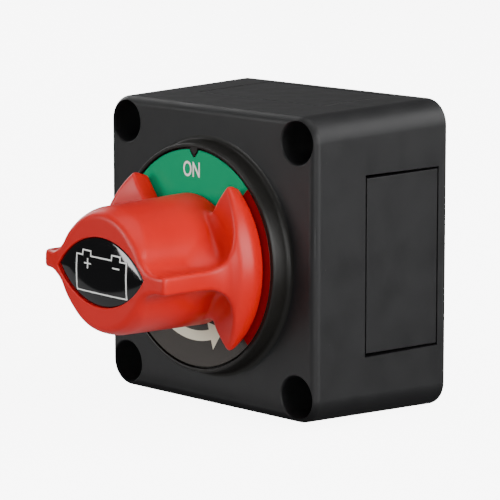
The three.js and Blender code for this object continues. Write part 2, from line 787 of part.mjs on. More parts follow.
const returnSpring = coil({
  radius: 4.3,
  wire: 0.45,
  y0: CARRIER_BACK_Y + 0.6,
  y1: POCKET_FLOOR_Y - 0.6,
  turns: 4.5,
  stepsPerTurn: 10,
});
addGeometry("return_spring", returnSpring, SPRING_STEEL);

// ---------------------------------------------------------------- base insulator and terminals

function baseInsulator() {
  const stations = [PLATE_BACK_Y, PLATE_FRONT_Y].map((y) => ({ y, half: PLATE_HALF, radius: 3 }));
  const y = [PLATE_BACK_Y + 1, PLATE_FRONT_Y - 1];
  const plate = cut(squareLoft(stations, 4), ...cornerPosts(POST_R + GAP, ...y));
  const pocketWall = disc(POCKET_R + 1.8, POCKET_FLOOR_Y + 1.6, PLATE_BACK_Y - 0.5, 32);
  return cut(
    union(plate, pocketWall),
    disc(POCKET_R, POCKET_FLOOR_Y, PLATE_FRONT_Y - 1, 32),
    ...SIDES.map(([, sign]) => rod(sign * STUD_X, 0, STUD_R + 0.15, ...y, 24)),
    ...SIDES.map(([, sign]) => rod(sign * STUD_X, 0, STUD_HEAD_R + 0.2, STUD_SEAT_Y, y[1], 24)),
    ...baseScrewPlaces().map(([x, z]) => rod(x, z, BASE_SCREW_R + GAP, ...y, 12)),
    ...[-1, 1].map((side) => rod(0, side * GUIDE_Z, GUIDE_PIN_R + FINE_GAP, GUIDE_PIN_BACK_Y + 0.1, y[1])),
  );
}

function terminalStud() {
  const headFront = FIXED_CONTACT_Y + CONTACT_THICKNESS + FINE_GAP;
  const headBack = STUD_SEAT_Y - FINE_GAP;
  return turned([
    [0, headFront],
    [STUD_HEAD_R, headFront],
    [STUD_HEAD_R, headBack],
    [STUD_R, headBack],
    [STUD_R, STUD_END_Y - 0.8],
    [STUD_R - 0.8, STUD_END_Y],
    [0, STUD_END_Y],
  ], 24);
}

function springWasher(y0, y1) {
  const ring = tube(WASHER_BORE_R, SPRING_WASHER_R, y0, y1, 28);
  const slit = new THREE.BoxGeometry(6, 6, 0.7).rotateX(0.5).translate(7, (y0 + y1) / 2, 0);
  return cut(ring, solid(slit));
}

function hexNut(y0, y1) {
  const hexR = NUT_ACROSS_FLATS / Math.sqrt(3);
  const chamfer = turned([
    [0, y0],
    [hexR - 1, y0],
    [hexR, y0 + 0.7],
    [hexR, y1 - 0.7],
    [hexR - 1, y1],
    [0, y1],
  ], 24);
  return cut(disc(hexR, y0, y1, 6).intersect(chamfer), disc(STUD_R + 0.15, y0 - 1, y1 + 1, 24));
}

add("base_insulator", baseInsulator(), GREY_PHENOLIC);
for (const [side, sign] of SIDES) {
  const beside = (mesh) => mesh.position.set(sign * STUD_X, 0, 0);
  const washerY = PLATE_BACK_Y + FINE_GAP;
  const springY = washerY + WASHER_THICKNESS + FINE_GAP;
  const nutY = springY + SPRING_WASHER_THICKNESS + FINE_GAP;
  const flatWasher = tube(WASHER_BORE_R, WASHER_R, washerY, washerY + WASHER_THICKNESS, 28);
  add(`terminal_stud_${side}`, terminalStud(), TINNED_BRASS, beside);
  add(`flat_washer_${side}`, flatWasher, STAINLESS, beside);
  add(`spring_washer_${side}`, springWasher(springY, springY + SPRING_WASHER_THICKNESS), STAINLESS, beside);
  add(`stud_nut_${side}`, hexNut(nutY, nutY + NUT_THICKNESS), STAINLESS, beside);
}

function baseScrew() {
  const seatY = PLATE_BACK_Y + FINE_GAP;
  const headY = seatY + BASE_SCREW_HEAD_HEIGHT;
  const body = turned([
    [0, BASE_SCREW_TIP_Y],
    [BASE_SCREW_R, BASE_SCREW_TIP_Y + 0.5],
    [BASE_SCREW_R, seatY],
    [BASE_SCREW_HEAD_R, seatY],
    [BASE_SCREW_HEAD_R, headY - 0.6],
    [BASE_SCREW_HEAD_R - 0.7, headY],
    [0, headY],
  ], 16);
  return cut(body, crossRecess(0, 0, headY, -1));
}

baseScrewPlaces().forEach(([x, z], i) => {
  add(`base_screw_${i + 1}`, baseScrew(), STAINLESS, (mesh) => mesh.position.set(x, 0, z));
});

for (const [name, sign] of [["guide_pin_upper", 1], ["guide_pin_lower", -1]]) {
  const pin = disc(GUIDE_PIN_R, GUIDE_PIN_BACK_Y, GUIDE_PIN_FRONT_Y, 16);
  add(name, pin, STAINLESS, (mesh) => mesh.position.set(0, 0, sign * GUIDE_Z));
}

// ---------------------------------------------------------------- detents

function plunger() {
  const tail = PLUNGER_TIP + PLUNGER_LENGTH;
  return turned([
    [0, PLUNGER_TIP],
    [0.6, PLUNGER_TIP + 0.15],
    [PLUNGER_R, PLUNGER_TIP + 0.9],
    [PLUNGER_R, tail],
    [0, tail],
  ], 16);
}

for (const [name, angle] of DETENTS) {
  const along = (mesh) => {
    mesh.position.set(0, DETENT_Y, 0);
    mesh.rotation.set(0, -angle, -Math.PI / 2);
  };
  const wire = coil({
    radius: 0.85,
    wire: 0.2,
    y0: PLUNGER_TIP + PLUNGER_LENGTH + 0.35,
    y1: DETENT_BORE_END - 0.35,
    turns: 4,
    sides: 5,
    stepsPerTurn: 7,
  });
  add(`detent_plunger_${name}`, plunger(), STAINLESS, along);
  addGeometry(`detent_spring_${name}`, wire, SPRING_STEEL, along);
}

export default battery_switch;
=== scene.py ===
"""The looks of a marine battery switch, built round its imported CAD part."""

import json
import math

import bmesh
import bpy
import numpy as np
import openvdb
from mathutils import Matrix, Vector


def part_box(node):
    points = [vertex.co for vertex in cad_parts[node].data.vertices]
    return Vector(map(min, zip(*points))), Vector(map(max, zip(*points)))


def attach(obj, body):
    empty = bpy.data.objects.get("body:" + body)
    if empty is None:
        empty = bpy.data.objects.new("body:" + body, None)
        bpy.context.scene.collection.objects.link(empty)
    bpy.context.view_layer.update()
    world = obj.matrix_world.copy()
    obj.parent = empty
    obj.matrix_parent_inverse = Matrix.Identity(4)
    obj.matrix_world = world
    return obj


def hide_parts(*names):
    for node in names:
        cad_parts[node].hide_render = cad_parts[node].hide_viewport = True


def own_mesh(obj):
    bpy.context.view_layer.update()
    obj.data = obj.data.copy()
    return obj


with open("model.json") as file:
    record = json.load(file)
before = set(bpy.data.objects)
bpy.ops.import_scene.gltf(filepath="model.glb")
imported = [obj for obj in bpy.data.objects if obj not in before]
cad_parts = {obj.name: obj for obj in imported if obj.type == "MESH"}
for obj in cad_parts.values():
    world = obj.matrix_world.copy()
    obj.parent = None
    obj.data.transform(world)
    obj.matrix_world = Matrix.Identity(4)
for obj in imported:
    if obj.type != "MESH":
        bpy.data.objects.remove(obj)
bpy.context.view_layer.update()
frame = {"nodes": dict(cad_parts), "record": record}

MM = 0.001

# ---------------------------------------------------------------- sizes read from the CAD, in mm


def edges(node):
    low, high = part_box(node)
    return [v / MM for v in low], [v / MM for v in high]


housing_low, housing_high = edges("housing")
dial_low, dial_high = edges("dial_plate")
knob_low, knob_high = edges("knob")
badge_low = edges("knob_badge")[0]
cover_low, cover_high = edges("rear_cover")

# Case: y is 0 at the back and falls towards the front
HALF = housing_high[0]
DRAFT = 0.03
FRONT_Y = -39.5
CORNER_R = 5.7
EDGE_R = 1.9
WALL = 2.8
CHAMBER_Y = FRONT_Y + 2.5
BORE_R = 9.2

# Screw holes, HOLE from the middle both ways, and the posts round them
HOLE = 27.7
WELL_R = 4.7
WELL_FLOOR_Y = -9.0
SCREW_HOLE_R = 2.75
POST_R = 6.9
CORNERS = [(1, 1), (-1, 1), (-1, -1), (1, -1)]

# Bezel and dial
RING_CREST_Y = -44.0
RING_INNER_R = 24.5
RING_OUTER_R = 26.9
DIAL_R = dial_high[0] - 0.2
DIAL_INNER_R = 9.6
DIAL_Y = dial_low[1]
DIAL_FLOOR_Y = -42.5
NOTCH_GAP = 0.34

# Cable panel openings
PANEL_FRONT_Y = -24.6
PANEL_BACK_Y = -2.5
PANEL_HALF = 20.0

# Rear cover
COVER_THICK = 2.6
GROOVE_PITCH = 4.5

# Terminals
STUD_X = 19.0
STUD_R = 4.9
STUD_PITCH = 1.5
STUD_HOLE_R = 5.05
NUT_FLATS = 17


def half_at(y):
    """Half the case's width at depth y, with its draft."""
    return HALF + DRAFT * y


# ---------------------------------------------------------------- materials

# The colour inputs and the colour output of a Mix node, by number
MIX_A, MIX_B, MIX_RESULT = 6, 7, 2
SPECK_SCALE = 420.0
SPECK_SIZE = 0.075


class Shader:
    """A small builder for node materials."""

    def __init__(self, name):
        self.material = bpy.data.materials.new(name)
        self.material.use_nodes = True
        self.tree = self.material.node_tree
        self.tree.nodes.clear()
        self.out = self.add("ShaderNodeOutputMaterial")
        self.surface = self.add("ShaderNodeBsdfPrincipled")
        self.link(self.surface.outputs["BSDF"], self.out.inputs["Surface"])
        self.place = self.add("ShaderNodeTexCoord").outputs["Object"]

    def add(self, kind, **values):
        node = self.tree.nodes.new(kind)
        for key, value in values.items():
            setattr(node, key, value)
        return node

    def link(self, source, target):
        self.tree.links.new(source, target)

    def stretched(self, scale):
        mapping = self.add("ShaderNodeMapping")
        mapping.inputs["Scale"].default_value = scale
        self.link(self.place, mapping.inputs["Vector"])
        return mapping.outputs["Vector"]

    def noise(self, scale, detail=3.0, rough=0.5, vector=None):
        node = self.add("ShaderNodeTexNoise")
        node.inputs["Scale"].default_value = scale
        node.inputs["Detail"].default_value = detail
        node.inputs["Roughness"].default_value = rough
        self.link(vector or self.place, node.inputs["Vector"])
        return node.outputs["Fac"]

    def spread(self, source, low, high):
        """Maps the middle of a noise's range onto low to high."""
        node = self.add("ShaderNodeMapRange")
        node.inputs["From Min"].default_value = 0.3
        node.inputs["From Max"].default_value = 0.7
        node.inputs["To Min"].default_value = low
        node.inputs["To Max"].default_value = high
        self.link(source, node.inputs["Value"])
        return node.outputs["Result"]

    def blend(self, factor, first, second):
        node = self.add("ShaderNodeMix", data_type="RGBA")
        for key, value in ((MIX_A, first), (MIX_B, second)):
            if isinstance(value, tuple):
                node.inputs[key].default_value = value
            else:
                self.link(value, node.inputs[key])
        self.link(factor, node.inputs["Factor"])
        return node.outputs[MIX_RESULT]

    def bump(self, height, distance, strength=1.0, onto=None):
        node = self.add("ShaderNodeBump")
        node.inputs["Strength"].default_value = strength
        node.inputs["Distance"].default_value = distance * MM
        self.link(height, node.inputs["Height"])
        if onto is not None:
            self.link(onto, node.inputs["Normal"])
        return node.outputs["Normal"]

    def specks(self, scale, size, share):
        """1 on a few small round grains and 0 elsewhere."""
        cell = self.add("ShaderNodeTexVoronoi")
        cell.inputs["Scale"].default_value = scale
        self.link(self.place, cell.inputs["Vector"])
        near = self.add("ShaderNodeMath", operation="LESS_THAN")
        near.inputs[1].default_value = size * MM * scale
        self.link(cell.outputs["Distance"], near.inputs[0])
        split = self.add("ShaderNodeSeparateColor")
        self.link(cell.outputs["Color"], split.inputs["Color"])
        picked = self.add("ShaderNodeMath", operation="LESS_THAN")
        picked.inputs[1].default_value = share
        self.link(split.outputs["Red"], picked.inputs[0])
        both = self.add("ShaderNodeMath", operation="MULTIPLY")
        self.link(near.outputs[0], both.inputs[0])
        self.link(picked.outputs[0], both.inputs[1])
        return both.outputs[0]


def shade(colour, factor):
    return tuple(min(1.0, c * factor) for c in colour[:3]) + (1.0,)


def srgb(r, g, b):
    def linear(v):
        v /= 255
        return v / 12.92 if v <= 0.04045 else ((v + 0.055) / 1.055) ** 2.4

    return (linear(r), linear(g), linear(b), 1.0)


def finish_material(
    name,
    colour,
    roughness,
    metallic=0.0,
    tint=0.08,
    patch=90.0,
    grain=1400.0,
    grain_height=0.012,
    wave_height=0.0,
    wave=120.0,
    spread=0.06,
    coat=0.0,
    specular=0.5,
    streaks=None,
    speck_share=0.0,
    speck_colour=(0.3, 0.3, 0.3, 1.0),
    subsurface=0.0,
):
    """A material with slow patches of tint and roughness, and fine grain as bump."""
    s = Shader(name)
    patches = s.noise(patch, 4.0, 0.55)
    colours = s.blend(s.spread(patches, 0, 1), shade(colour, 1 - tint), shade(colour, 1 + tint))
    if speck_share:
        colours = s.blend(s.specks(SPECK_SCALE, SPECK_SIZE, speck_share), colours, speck_colour)
    s.link(colours, s.surface.inputs["Base Color"])
    fine = s.noise(grain, 3.0, 0.6)
    rough = s.spread(s.noise(patch * 2.3, 3.0), roughness - spread, roughness + spread)
    s.link(rough, s.surface.inputs["Roughness"])
    normal = None
    if streaks:
        lines = s.noise(1.0, 2.0, 0.5, s.stretched(streaks))
        normal = s.bump(lines, 0.01, 0.6)
    if wave_height:
        normal = s.bump(s.noise(wave, 1.5), wave_height, 1.0, normal)
    if grain_height:
        normal = s.bump(fine, grain_height, 1.0, normal)
    if normal is not None:
        s.link(normal, s.surface.inputs["Normal"])
    s.surface.inputs["Metallic"].default_value = metallic
    s.surface.inputs["Specular IOR Level"].default_value = specular
    s.surface.inputs["Coat Weight"].default_value = coat
    s.surface.inputs["Coat Roughness"].default_value = 0.06
    if subsurface:
        s.surface.inputs["Subsurface Weight"].default_value = subsurface
        s.surface.inputs["Subsurface Radius"].default_value = (0.0012, 0.0003, 0.0002)
        s.surface.inputs["Subsurface Scale"].default_value = 1.0
    return s.material


BLACK = finish_material(
    "black_nylon", srgb(25, 25, 26), 0.47, tint=0.07, patch=60, grain=2600, grain_height=0.010,
    wave_height=0.02, wave=160, specular=0.3, speck_share=0.05, speck_colour=srgb(70, 70, 68),
)
RING_BLACK = finish_material(
    "black_nylon_bezel", srgb(25, 24, 22), 0.42, tint=0.07, patch=80, grain=2600,
    grain_height=0.008, wave_height=0.01, wave=200, specular=0.25, speck_share=0.03,
    speck_colour=srgb(75, 73, 68),
)
RED = finish_material(
    "red_nylon", srgb(203, 19, 13), 0.38, tint=0.03, patch=70, grain=2200, grain_height=0.003,
    wave_height=0.006, wave=60, spread=0.03, specular=0.3, subsurface=0.15,
)
GREEN_PRINT = finish_material(
    "green_print", srgb(12, 158, 108), 0.22, tint=0.02, spread=0.01, grain_height=0.001,
    specular=0.1,
)
RED_PRINT = finish_material(
    "red_print", srgb(138, 0, 6), 0.45, tint=0.03, spread=0.01, grain_height=0.001,
    specular=0.15,
)
GREY_PRINT = finish_material(
    "grey_print", srgb(58, 55, 51), 0.32, tint=0.02, spread=0.01, grain_height=0.001,
    specular=0.35,
)
IVORY_PRINT = finish_material(
    "ivory_print", srgb(224, 222, 198), 0.35, tint=0.04, grain_height=0.003, specular=0.35
)
WHITE_PRINT = finish_material(
    "white_print", srgb(246, 247, 244), 0.35, tint=0.01, grain_height=0.002, specular=0.35
)
LENS = finish_material(
    "black_lens", srgb(6, 6, 8), 0.07, tint=0.1, grain_height=0.0, wave_height=0.002, wave=60,
    spread=0.01, specular=0.6, coat=0.2,
)
ACETAL = finish_material("white_acetal", srgb(228, 224, 212), 0.38, tint=0.02, subsurface=0.1)
PHENOLIC = finish_material(
    "grey_phenolic", srgb(84, 70, 60), 0.5, tint=0.22, patch=260, grain=1800, grain_height=0.02
)
COPPER = finish_material(
    "copper", srgb(214, 134, 98), 0.27, metallic=1.0, tint=0.1, patch=120, grain_height=0.004,
    streaks=(60, 900, 2400),
)
BRASS = finish_material(
    "tinned_brass", srgb(214, 206, 184), 0.24, metallic=1.0, tint=0.06, patch=150,
    grain_height=0.004,
)
SILVER = finish_material(
    "silver", srgb(226, 223, 216), 0.22, metallic=1.0, tint=0.05, patch=200, grain_height=0.004
)
STAINLESS = finish_material(
    "stainless", srgb(196, 198, 200), 0.26, metallic=1.0, tint=0.05, patch=180,
    grain_height=0.005, streaks=(900, 120, 900),
)
SPRING = finish_material(
    "spring_steel", srgb(158, 161, 164), 0.3, metallic=1.0, tint=0.08, patch=300,
    grain_height=0.004,
)
NITRILE = finish_material("nitrile", srgb(24, 24, 24), 0.7, tint=0.1, grain_height=0.01)

SLOT_FINISH = {
    "black_nylon": BLACK,
    "red_nylon": RED,
    "dial_print": GREEN_PRINT,
    "black_lens": LENS,
    "white_acetal": ACETAL,
    "grey_phenolic": PHENOLIC,
    "copper": COPPER,
    "tinned_brass": BRASS,
    "silver": SILVER,
    "stainless": STAINLESS,
    "spring_steel": SPRING,
    "nitrile": NITRILE,
}

# ---------------------------------------------------------------- mesh helpers, all in mm


def added(name, data):
    thing = bpy.data.objects.new(name, data)
    bpy.context.scene.collection.objects.link(thing)
    return thing


def raw_mesh(name, points, faces):
    data = bpy.data.meshes.new(name)
    data.from_pydata([tuple(c * MM for c in p) for p in points], [], faces)
    data.validate()
    data.update()
    return added(name, data)


def skin(rings, count):
    """Faces that join rings of count points in order and close both ends."""
    faces = []
    for a in range(0, (rings - 1) * count, count):
        b = a + count
        for i in range(count):
            j = (i + 1) % count
            faces.append((a + i, a + j, b + j, b + i))
    last = (rings - 1) * count
    faces += [tuple(range(count)), tuple(range(last, last + count))]
    return faces


def outward(thing):
    bm = bmesh.new()
    bm.from_mesh(thing.data)
    bmesh.ops.recalc_face_normals(bm, faces=bm.faces)
    bm.to_mesh(thing.data)
    bm.free()
    return thing


def lathe(name, profile, segments=96, closed=False):
    """A skin turned about the Y axis from (radius, y) points; a point with radius 0 is a pole."""
    points, faces, rings = [], [], []
    for radius, y in profile:
        if radius == 0:
            rings.append([len(points)])
            points.append((0, y, 0))
            continue
        rings.append(list(range(len(points), len(points) + segments)))
        for i in range(segments):
            angle = 2 * math.pi * i / segments
            points.append((radius * math.cos(angle), y, radius * math.sin(angle)))
    pairs = list(zip(rings, rings[1:]))
    if closed:
        pairs.append((rings[-1], rings[0]))
    for a, b in pairs:
        for i in range(segments):
            j = (i + 1) % segments
            if len(a) == 1 and len(b) > 1:
                faces.append((a[0], b[j], b[i]))
            elif len(b) == 1 and len(a) > 1:
                faces.append((a[i], a[j], b[0]))
            elif len(a) > 1:
                faces.append((a[i], a[j], b[j], b[i]))
    return outward(raw_mesh(name, points, faces))


def rounded_square(half, radius, steps):
    points = []
    for corner, (cx, cz) in enumerate(CORNERS):
        start = corner * math.pi / 2
        for i in range(steps + 1):
            angle = start + i / steps * math.pi / 2
            points.append((
                cx * (half - radius) + radius * math.cos(angle),
                cz * (half - radius) + radius * math.sin(angle),
            ))
    return points


def square_loft(name, stations, steps=12):
    """A closed skin through rounded squares given as (y, half, corner radius)."""
    points = []
    for y, half, radius in stations:
        points += [(x, y, z) for x, z in rounded_square(half, radius, steps)]
    return outward(raw_mesh(name, points, skin(len(stations), 4 * (steps + 1))))


def prism(name, outline, y0, y1):
    """An outline in X and Z extruded between two depths."""
    points = [(x, y0, z) for x, z in outline] + [(x, y1, z) for x, z in outline]
    return outward(raw_mesh(name, points, skin(2, len(outline))))


def block(name, x0, x1, y0, y1, z0, z1):
    return prism(name, [(x0, z0), (x1, z0), (x1, z1), (x0, z1)], y0, y1)


def rod(name, x, z, radius, y0, y1, segments=48):
    return moved(lathe(name, [(0, y0), (radius, y0), (radius, y1), (0, y1)], segments), x, z)


def settle(thing):
    """Turns the thing's modifiers into its own mesh."""
    graph = bpy.context.evaluated_depsgraph_get()
    data = bpy.data.meshes.new_from_object(thing.evaluated_get(graph))
    thing.modifiers.clear()
    thing.data = data
    return thing


def combine(thing, others, operation="DIFFERENCE"):
    for other in others:
        change = thing.modifiers.new("combine", "BOOLEAN")
        change.operation = operation
        change.object = other
        change.solver = "EXACT"
    settle(thing)
    for other in others:
        bpy.data.objects.remove(other)
    return thing


def bevel(thing, width, segments=2):
    change = thing.modifiers.new("bevel", "BEVEL")
    change.width = width * MM
    change.segments = segments
    change.limit_method = "ANGLE"
    change.angle_limit = math.radians(30)
    return settle(thing)


def smooth(thing, angle=30, weighted=True):
    """Smooth shading with edges sharper than the angle kept, weighted by face size."""
    thing.data.shade_smooth()
    thing.data.set_sharp_from_angle(angle=math.radians(angle))
    if weighted:
        change = thing.modifiers.new("normals", "WEIGHTED_NORMAL")
        change.keep_sharp = True
    return thing


def join(name, things):
    """One mesh object out of several, with their materials kept apart."""
    bm = bmesh.new()
    materials = []
    for thing in things:
        part = bmesh.new()
        part.from_mesh(thing.data)
        own = list(thing.data.materials)
        for face in part.faces:
            m = own[face.material_index] if own else None
            if m not in materials:
                materials.append(m)
            face.material_index = materials.index(m)
        scratch = bpy.data.meshes.new("scratch")
        part.to_mesh(scratch)
        part.free()
        bm.from_mesh(scratch)
        bpy.data.meshes.remove(scratch)
        bpy.data.objects.remove(thing)
    data = bpy.data.meshes.new(name)
    bm.to_mesh(data)
    bm.free()
    for m in materials:
        data.materials.append(m)
    return added(name, data)


def painted(thing, material):
    thing.data.materials.clear()
    thing.data.materials.append(material)
    return thing


def piece(thing, body, slot, *nodes):
    """Attaches a finished piece to its body and hides the nodes it replaces; the slot is not used.
    """
    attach(thing, body)
    if nodes:
        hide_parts(*nodes)
    return thing


def turned_by(thing, angle):
    """Turns a piece about the Y axis, from +X towards +Z."""
    thing.data.transform(Matrix.Rotation(-angle, 4, "Y"))
    return thing


def moved(thing, x, z):
    thing.data.transform(Matrix.Translation((x * MM, 0, z * MM)))
    return thing


# ---------------------------------------------------------------- housing


def outer_body():
    """The drafted outside of the case, its rear edge eased and its front edge rounded."""
    stations = [(0.0, HALF - 0.35, CORNER_R - 0.35), (-0.12, HALF - 0.1, CORNER_R - 0.1)]
    stations += [(y, half_at(y), CORNER_R) for y in (-0.45, -14.0, -27.0)]
    steps = 10
    for i in range(steps + 1):
        angle = i / steps * math.pi / 2
        inset = EDGE_R * (1 - math.cos(angle))
        y = FRONT_Y + EDGE_R * (1 - math.sin(angle))
        stations.append((y, half_at(y) - inset, CORNER_R - inset))
    return square_loft("housing_shell", stations, 14)


def corner_posts(radius, y0, y1):
    """Posts round the screw holes, filled out past the case's two nearest sides."""
    posts = []
    far = HALF + 1
    for sx, sz in CORNERS:
        cx, cz = sx * HOLE, sz * HOLE
        posts.append(rod("post", cx, cz, radius, y0, y1, 40))
        xs, zs = sorted((cx, sx * far)), sorted((cz - sz * radius, sz * far))
        posts.append(block("post_x", *xs, y0, y1, *zs))
        xs, zs = sorted((cx - sx * radius, sx * far)), sorted((cz, sz * far))
        posts.append(block("post_z", *xs, y0, y1, *zs))
    return posts


def well_cutter(sx, sz):
    """A counterbore with an eased rim, and the screw hole under it."""
    rim = 0.32
    profile = [
        (0, FRONT_Y - 1),
        (WELL_R + rim + 0.9, FRONT_Y - 1),
        (WELL_R + rim, FRONT_Y),
        (WELL_R + 0.1, FRONT_Y + 0.16),
        (WELL_R, FRONT_Y + 0.4),
        (WELL_R - 0.1, WELL_FLOOR_Y),
        (SCREW_HOLE_R, WELL_FLOOR_Y),
        (SCREW_HOLE_R, 1),
        (0, 1),
    ]
    return moved(lathe("well", profile, 72), sx * HOLE, sz * HOLE)


def window_cutter(angle):
    """The opening for a cable panel in one side wall."""
    z = PANEL_HALF
    thing = block("window", HALF - WALL - 2.6, HALF + 4, PANEL_FRONT_Y, PANEL_BACK_Y, -z, z)
    return turned_by(thing, angle)


def housing_shell():
    """The case's walls, with the cavity, wells, cable windows and the rotor's bore cut out."""
    shell = outer_body()
    cavity = square_loft("cavity", [
        (1.0, half_at(1) - WALL, 3.0),
        (CHAMBER_Y, half_at(CHAMBER_Y) - WALL, 3.0),
    ], 8)
    posts = corner_posts(POST_R, cover_low[1] + 1.5, CHAMBER_Y - 1)
    combine(cavity, posts)
    combine(shell, [cavity])
    cutters = [well_cutter(sx, sz) for sx, sz in CORNERS]
    cutters += [window_cutter(k * math.pi / 2) for k in range(4)]
    cutters.append(rod("bore", 0, 0, BORE_R, CHAMBER_Y + 1, FRONT_Y - 8, 64))
    combine(shell, cutters)
    return smooth(painted(shell, BLACK), 32)


def bezel_ring():
    """The raised rim round the dial, its flank blended into the front face."""
    profile = [
        (BORE_R, FRONT_Y - 0.4),
        (BORE_R, DIAL_FLOOR_Y),
        (RING_INNER_R, DIAL_FLOOR_Y),
        (RING_INNER_R, RING_CREST_Y + 0.22),
        (RING_INNER_R + 0.06, RING_CREST_Y + 0.07),
        (RING_INNER_R + 0.2, RING_CREST_Y),
        (25.12, RING_CREST_Y),
        (25.26, RING_CREST_Y + 0.06),
        (25.36, RING_CREST_Y + 0.2),
        (25.58, RING_CREST_Y + 0.8),
        (25.78, FRONT_Y - 1.2),
        (25.88, FRONT_Y - 0.7),
        (26.08, FRONT_Y - 0.34),
        (26.42, FRONT_Y - 0.1),
        (RING_OUTER_R, FRONT_Y + 0.02),
        (RING_OUTER_R, FRONT_Y + 0.6),
        (BORE_R, FRONT_Y + 0.6),
    ]
    ring = lathe("bezel_ring", profile, 160, closed=True)
    return smooth(painted(ring, RING_BLACK), 40)


def tooth_outline(clearance):
    """The index tooth, or with a clearance the notch in the dial round it."""
    half = 1.3 + clearance
    root = RING_INNER_R + 0.4
    tip = 22.9 - clearance * 1.5
    waist = (root + tip) / 2 - 0.2
    return [(-half, root), (-half * 0.72, waist), (-0.3, tip), (0.3, tip),
            (half * 0.72, waist), (half, root)]


def bezel_tooth():
    tooth = prism("bezel_tooth", tooth_outline(0.0), DIAL_FLOOR_Y + 0.2, RING_CREST_Y + 0.03)
    return smooth(painted(bevel(tooth, 0.1, 2), RING_BLACK), 40)


piece(housing_shell(), "case", "black_nylon", "housing")
piece(bezel_ring(), "case", "black_nylon", "housing")
piece(bezel_tooth(), "case", "black_nylon", "housing")

# ---------------------------------------------------------------- cable panels

PANELS = [
    ("cable_panel_right", "right_panel", 0.0),
    ("cable_panel_top", "top_panel", math.pi / 2),
    ("cable_panel_left", "left_panel", math.pi),
    ("cable_panel_bottom", "bottom_panel", -math.pi / 2),
]


def cable_panel(name, angle):
    """A plate that follows the case's draft, with two ribs behind it."""
    front, back = PANEL_FRONT_Y + 0.42, PANEL_BACK_Y - 0.3
    near, far = PANEL_HALF - 0.8, PANEL_HALF - 0.5
    inner = HALF - WALL + 0.2
    corners = [
        (inner, front, near), (half_at(front), front, near),
        (half_at(back), back, far), (inner, back, far),
    ]
    points = [(x, y, side * half) for side in (-1, 1) for x, y, half in corners]
    faces = [(0, 1, 2, 3), (7, 6, 5, 4)]
    faces += [(i, i + 4, (i + 1) % 4 + 4, (i + 1) % 4) for i in range(4)]
    plate = bevel(outward(raw_mesh(name + "_plate", points, faces)), 0.16, 2)
    parts = [plate]
    middle = (front + back) / 2
    for z in (-10, 10):
        rib = block(
            "rib", HALF - WALL - 1, HALF - WALL + 1, middle - 8, middle + 8, z - 0.6, z + 0.6
        )
        parts.append(bevel(rib, 0.15, 1))
    for part in parts:
        painted(part, BLACK)
    return smooth(turned_by(join(name + "_looks", parts), angle), 40)


for name, body, angle in PANELS:
    piece(cable_panel(name, angle), body, "black_nylon", name)

# ---------------------------------------------------------------- rear cover


def rear_cover():
    """A plate with screw holes and shallow grooves, and a square rib on its inner side."""
    half = cover_high[0]
    plate = square_loft("rear_cover_looks", [
        (0.0, half - 0.3, 2.7),
        (-0.3, half, 3.0),
        (-COVER_THICK, half, 3.0),
    ], 8)
    holes = [rod("hole", sx * HOLE, sz * HOLE, SCREW_HOLE_R, 1, -4) for sx, sz in CORNERS]
    grooves = [
        block("groove", -18, 18, -0.5, 1, k * GROOVE_PITCH - 0.5, k * GROOVE_PITCH + 0.5)
        for k in range(-3, 4)
    ]
    combine(plate, holes + grooves)
    rib = block("rib", -13.5, 13.5, -4.4, -2.4, -13.5, 13.5)
    combine(rib, [block("rib_cut", -12, 12, -5, -1, -12, 12)])
    painted(plate, BLACK)
    painted(rib, BLACK)
    return smooth(join("rear_cover_looks", [plate, rib]), 32)


piece(rear_cover(), "cover", "black_nylon", "rear_cover")

# ---------------------------------------------------------------- dial


def dial_body():
    """The dial's plate, its front printed in quadrants and its edge cut for the index tooth."""
    back = DIAL_FLOOR_Y - 0.1
    edge = 0.12
    profile = [
        (DIAL_INNER_R, back),
        (DIAL_R, back),
        (DIAL_R, DIAL_Y + edge),
        (DIAL_R - edge, DIAL_Y),
        (DIAL_INNER_R + edge, DIAL_Y),
        (DIAL_INNER_R, DIAL_Y + edge),
    ]
    plate = lathe("dial_plate_looks", profile, 160, closed=True)
    for m in (GREY_PRINT, GREEN_PRINT, RED_PRINT):
        plate.data.materials.append(m)
    green, red = 1, 2
    for face in plate.data.polygons:
        c = face.center
        if face.normal.y > -0.4:
            continue
        angle = math.degrees(math.atan2(c.z, c.x)) % 360
        if 45 < angle < 135:
            face.material_index = green
        elif not 225 < angle < 315:
            face.material_index = red
    combine(plate, [prism("notch", tooth_outline(NOTCH_GAP), back + 1, DIAL_Y - 1)])
    return smooth(plate, 40)


def direction_arrow():
    """A thin curved arrow standing just proud of the dial."""
    middle, half = 17.15, 1.15
    start, head, tip = math.radians(243), math.radians(287), math.radians(303)
    steps = 24
    sweep = [start + (head - start) * i / steps for i in range(steps + 1)]
    outer = [((middle + half) * math.cos(a), (middle + half) * math.sin(a)) for a in sweep]
    inner = [((middle - half) * math.cos(a), (middle - half) * math.sin(a)) for a in sweep]
    point = [
        (20.5 * math.cos(head), 20.5 * math.sin(head)),
        (17.3 * math.cos(tip), 17.3 * math.sin(tip)),
        (14.3 * math.cos(head), 14.3 * math.sin(head)),
    ]
    y = DIAL_Y - 0.005
    return painted(prism("dial_arrow", outer + point + inner[::-1], y, y - 0.03), IVORY_PRINT)


